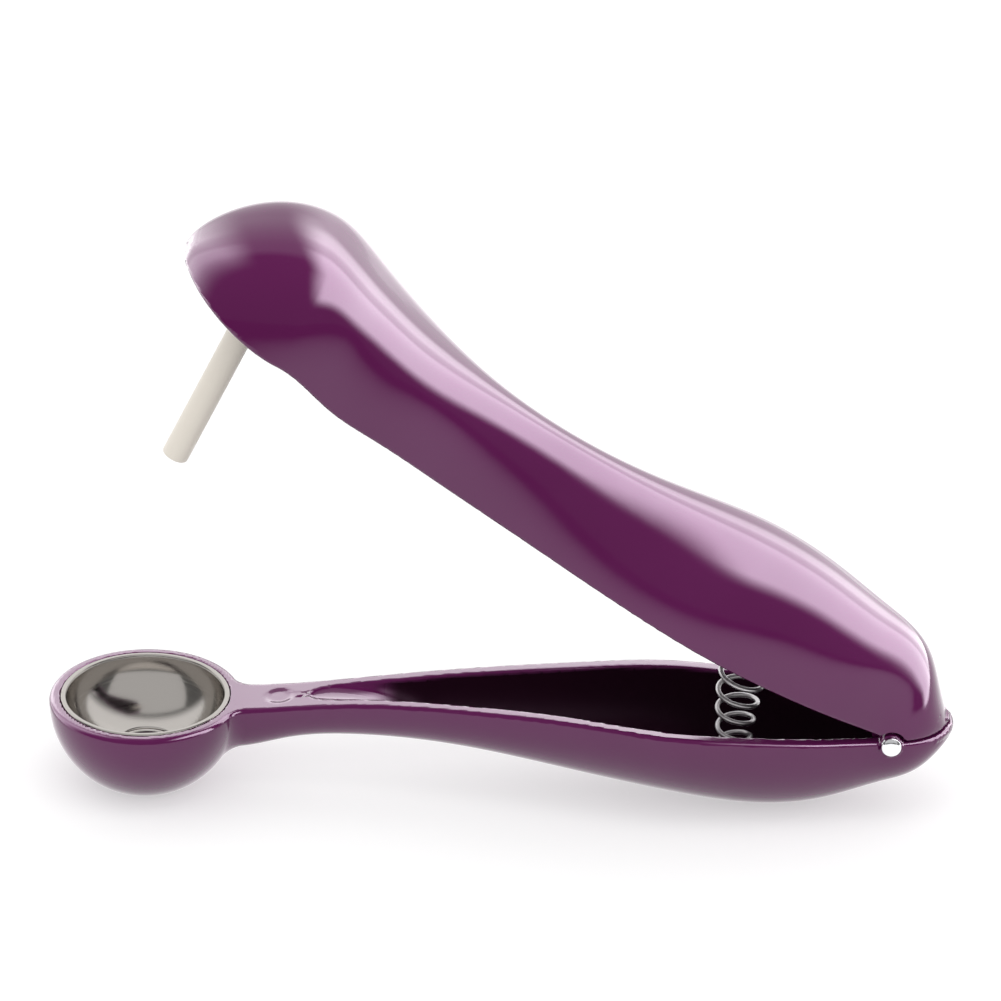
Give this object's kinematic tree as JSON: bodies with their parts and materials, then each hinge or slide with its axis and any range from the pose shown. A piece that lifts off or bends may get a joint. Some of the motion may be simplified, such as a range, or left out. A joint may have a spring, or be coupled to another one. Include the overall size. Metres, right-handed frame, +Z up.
{
  "type": "olive pitter",
  "caption": "Hand-held lever pitter: a cup arm with a steel bowl, a hooded arm with a punch, a hinge pin at the heel and a coil spring that holds the arms open.",
  "frame": {"origin": "centre of the bounding box in plan, on the surface that the open tool stands on", "axes": "+X along the tool from the cup to the hinge, +Y across it, +Z up; the arms stand open at rest"},
  "size_m": [0.1699, 0.0386, 0.1167],
  "materials": {
    "moulded_plastic": "polished moulding, deep purple",
    "bowl_steel": "pressed and polished stainless steel",
    "punch_plastic": "satin off-white moulding",
    "pin_steel": "bright rivet",
    "spring_steel": "bright spring wire"
  },
  "bodies": {
    "lower_arm": {"lower_handle": "moulded_plastic", "cup_liner": "bowl_steel", "hinge_pin": "pin_steel", "pin_cap": "pin_steel", "return_spring": "spring_steel"},
    "upper_arm": {"upper_handle": "moulded_plastic", "punch": "punch_plastic"}
  },
  "joints": [
    {"name": "arm_hinge", "type": "hinge", "parent": "lower_arm", "child": "upper_arm", "pos_m": [0.07315, 0, 0.0168], "axis": [0, -1, 0], "range_deg": [0, 25], "stiffness_Nm_per_rad": 0.3, "springref_deg": -22.92, "deforming": ["return_spring"]}
  ]
}
